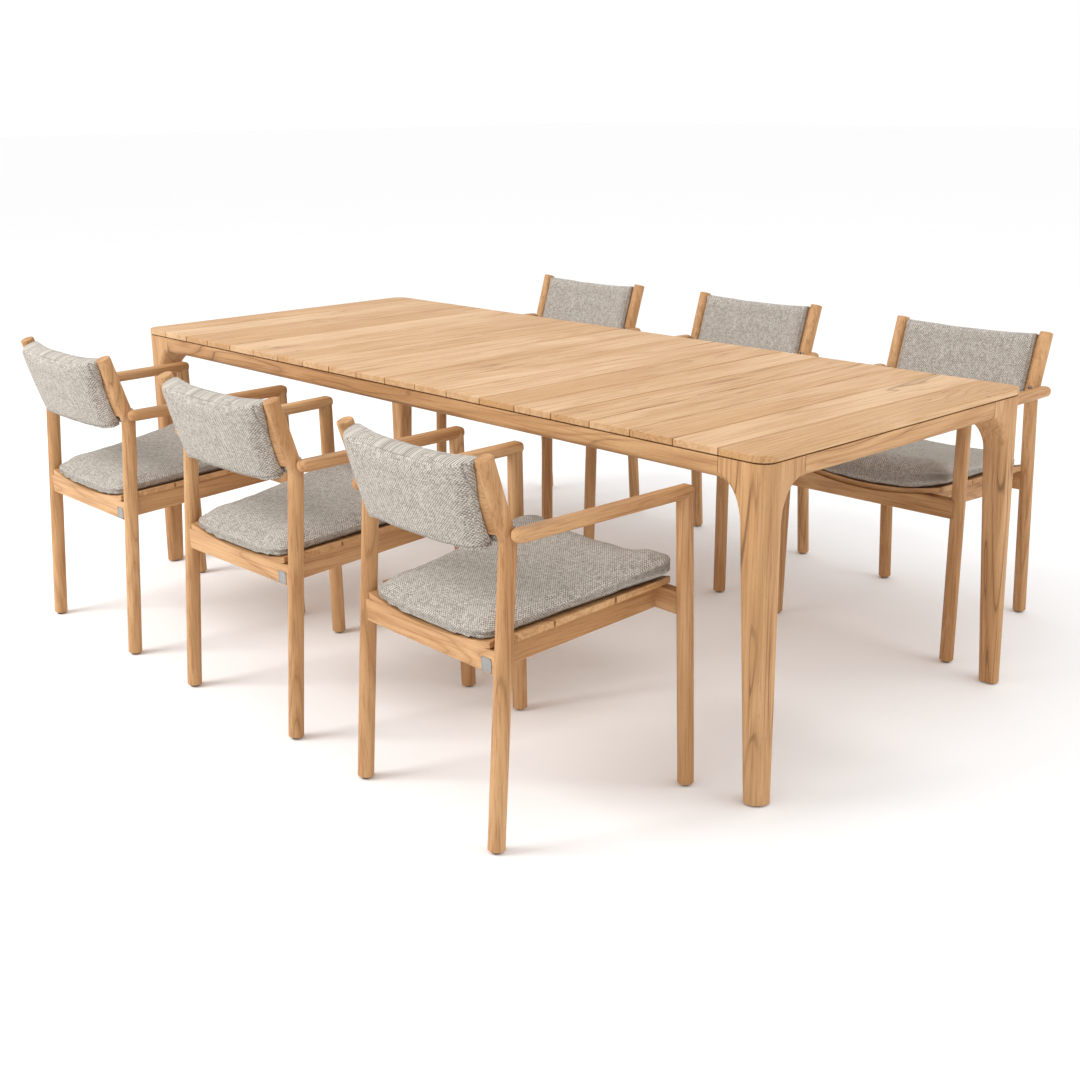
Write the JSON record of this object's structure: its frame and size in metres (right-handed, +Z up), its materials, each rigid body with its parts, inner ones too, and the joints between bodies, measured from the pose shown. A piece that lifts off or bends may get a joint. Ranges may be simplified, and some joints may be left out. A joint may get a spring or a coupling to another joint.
{
  "type": "patio dining set",
  "caption": "Slatted teak patio table with round-edged apron and tapered coved legs, with teak armchairs that have dished slat seats, loose seat pads and sleeve-like back pads.",
  "frame": {"origin": "on the ground under the table's centre", "axes": "+X along the table's long side, +Z up"},
  "size_m": [2.428, 2.1298, 0.8068],
  "materials": {
    "teak_top": "oiled teak boards, satin",
    "teak_frame": "oiled teak, satin",
    "teak_chair": "oiled teak, satin",
    "woven_fabric": "two-tone basket weave",
    "steel": "brushed",
    "dark_plastic": "matt moulded"
  },
  "bodies": {
    "table": {"table_top_slats": "teak_top", "table_bearers": "teak_frame", "table_long_apron_near": "teak_frame", "table_long_apron_far": "teak_frame", "table_short_apron_left": "teak_frame", "table_short_apron_right": "teak_frame", "table_corner_brackets": "steel", "table_glides": "dark_plastic", "table_leg_1": "teak_frame", "table_leg_2": "teak_frame", "table_leg_3": "teak_frame", "table_leg_4": "teak_frame"},
    "chair_1": {"chair_1_legs": "teak_chair", "chair_1_arms": "teak_chair", "chair_1_seat_rails": "teak_chair", "chair_1_seat_slats": "teak_chair", "chair_1_backrest": "teak_chair", "chair_1_fittings": "dark_plastic"},
    "chair_1_seat_pad": {"chair_1_seat_cushion": "woven_fabric"},
    "chair_1_back_pad": {"chair_1_back_cushion": "woven_fabric"},
    "chair_2": {"chair_2_legs": "teak_chair", "chair_2_arms": "teak_chair", "chair_2_seat_rails": "teak_chair", "chair_2_seat_slats": "teak_chair", "chair_2_backrest": "teak_chair", "chair_2_fittings": "dark_plastic"},
    "chair_2_seat_pad": {"chair_2_seat_cushion": "woven_fabric"},
    "chair_2_back_pad": {"chair_2_back_cushion": "woven_fabric"},
    "chair_3": {"chair_3_legs": "teak_chair", "chair_3_arms": "teak_chair", "chair_3_seat_rails": "teak_chair", "chair_3_seat_slats": "teak_chair", "chair_3_backrest": "teak_chair", "chair_3_fittings": "dark_plastic"},
    "chair_3_seat_pad": {"chair_3_seat_cushion": "woven_fabric"},
    "chair_3_back_pad": {"chair_3_back_cushion": "woven_fabric"},
    "chair_4": {"chair_4_legs": "teak_chair", "chair_4_arms": "teak_chair", "chair_4_seat_rails": "teak_chair", "chair_4_seat_slats": "teak_chair", "chair_4_backrest": "teak_chair", "chair_4_fittings": "dark_plastic"},
    "chair_4_seat_pad": {"chair_4_seat_cushion": "woven_fabric"},
    "chair_4_back_pad": {"chair_4_back_cushion": "woven_fabric"},
    "chair_5": {"chair_5_legs": "teak_chair", "chair_5_arms": "teak_chair", "chair_5_seat_rails": "teak_chair", "chair_5_seat_slats": "teak_chair", "chair_5_backrest": "teak_chair", "chair_5_fittings": "dark_plastic"},
    "chair_5_seat_pad": {"chair_5_seat_cushion": "woven_fabric"},
    "chair_5_back_pad": {"chair_5_back_cushion": "woven_fabric"},
    "chair_6": {"chair_6_legs": "teak_chair", "chair_6_arms": "teak_chair", "chair_6_seat_rails": "teak_chair", "chair_6_seat_slats": "teak_chair", "chair_6_backrest": "teak_chair", "chair_6_fittings": "dark_plastic"},
    "chair_6_seat_pad": {"chair_6_seat_cushion": "woven_fabric"},
    "chair_6_back_pad": {"chair_6_back_cushion": "woven_fabric"}
  },
  "joints": [
    {"name": "chair_1_pull_out", "type": "slide", "parent": "table", "child": "chair_1", "axis": [-0.0105, -0.9999, 0], "range_m": [-0.38, 0.5]},
    {"name": "chair_1_seat_pad_lift", "type": "slide", "parent": "chair_1", "child": "chair_1_seat_pad", "axis": [0, 0, 1], "range_m": [0, 0.12]},
    {"name": "chair_1_back_pad_lift", "type": "slide", "parent": "chair_1", "child": "chair_1_back_pad", "axis": [-0.0032, -0.3074, 0.9516], "range_m": [0, 0.2]},
    {"name": "chair_2_pull_out", "type": "slide", "parent": "table", "child": "chair_2", "axis": [0.0087, -1, 0], "range_m": [-0.38, 0.5]},
    {"name": "chair_2_seat_pad_lift", "type": "slide", "parent": "chair_2", "child": "chair_2_seat_pad", "axis": [0, 0, 1], "range_m": [0, 0.12]},
    {"name": "chair_2_back_pad_lift", "type": "slide", "parent": "chair_2", "child": "chair_2_back_pad", "axis": [0.0027, -0.3074, 0.9516], "range_m": [0, 0.2]},
    {"name": "chair_3_pull_out", "type": "slide", "parent": "table", "child": "chair_3", "axis": [-0.0349, -0.9994, 0], "range_m": [-0.38, 0.5]},
    {"name": "chair_3_seat_pad_lift", "type": "slide", "parent": "chair_3", "child": "chair_3_seat_pad", "axis": [0, 0, 1], "range_m": [0, 0.12]},
    {"name": "chair_3_back_pad_lift", "type": "slide", "parent": "chair_3", "child": "chair_3_back_pad", "axis": [-0.0107, -0.3072, 0.9516], "range_m": [0, 0.2]},
    {"name": "chair_4_pull_out", "type": "slide", "parent": "table", "child": "chair_4", "axis": [-0.0052, 1, 0], "range_m": [-0.38, 0.5]},
    {"name": "chair_4_seat_pad_lift", "type": "slide", "parent": "chair_4", "child": "chair_4_seat_pad", "axis": [0, 0, 1], "range_m": [0, 0.12]},
    {"name": "chair_4_back_pad_lift", "type": "slide", "parent": "chair_4", "child": "chair_4_back_pad", "axis": [-0.0016, 0.3074, 0.9516], "range_m": [0, 0.2]},
    {"name": "chair_5_pull_out", "type": "slide", "parent": "table", "child": "chair_5", "axis": [-0.007, 1, 0], "range_m": [-0.38, 0.5]},
    {"name": "chair_5_seat_pad_lift", "type": "slide", "parent": "chair_5", "child": "chair_5_seat_pad", "axis": [0, 0, 1], "range_m": [0, 0.12]},
    {"name": "chair_5_back_pad_lift", "type": "slide", "parent": "chair_5", "child": "chair_5_back_pad", "axis": [-0.0021, 0.3074, 0.9516], "range_m": [0, 0.2]},
    {"name": "chair_6_pull_out", "type": "slide", "parent": "table", "child": "chair_6", "axis": [-0.0209, 0.9998, 0], "range_m": [-0.38, 0.5]},
    {"name": "chair_6_seat_pad_lift", "type": "slide", "parent": "chair_6", "child": "chair_6_seat_pad", "axis": [0, 0, 1], "range_m": [0, 0.12]},
    {"name": "chair_6_back_pad_lift", "type": "slide", "parent": "chair_6", "child": "chair_6_back_pad", "axis": [-0.0064, 0.3074, 0.9516], "range_m": [0, 0.2]}
  ]
}
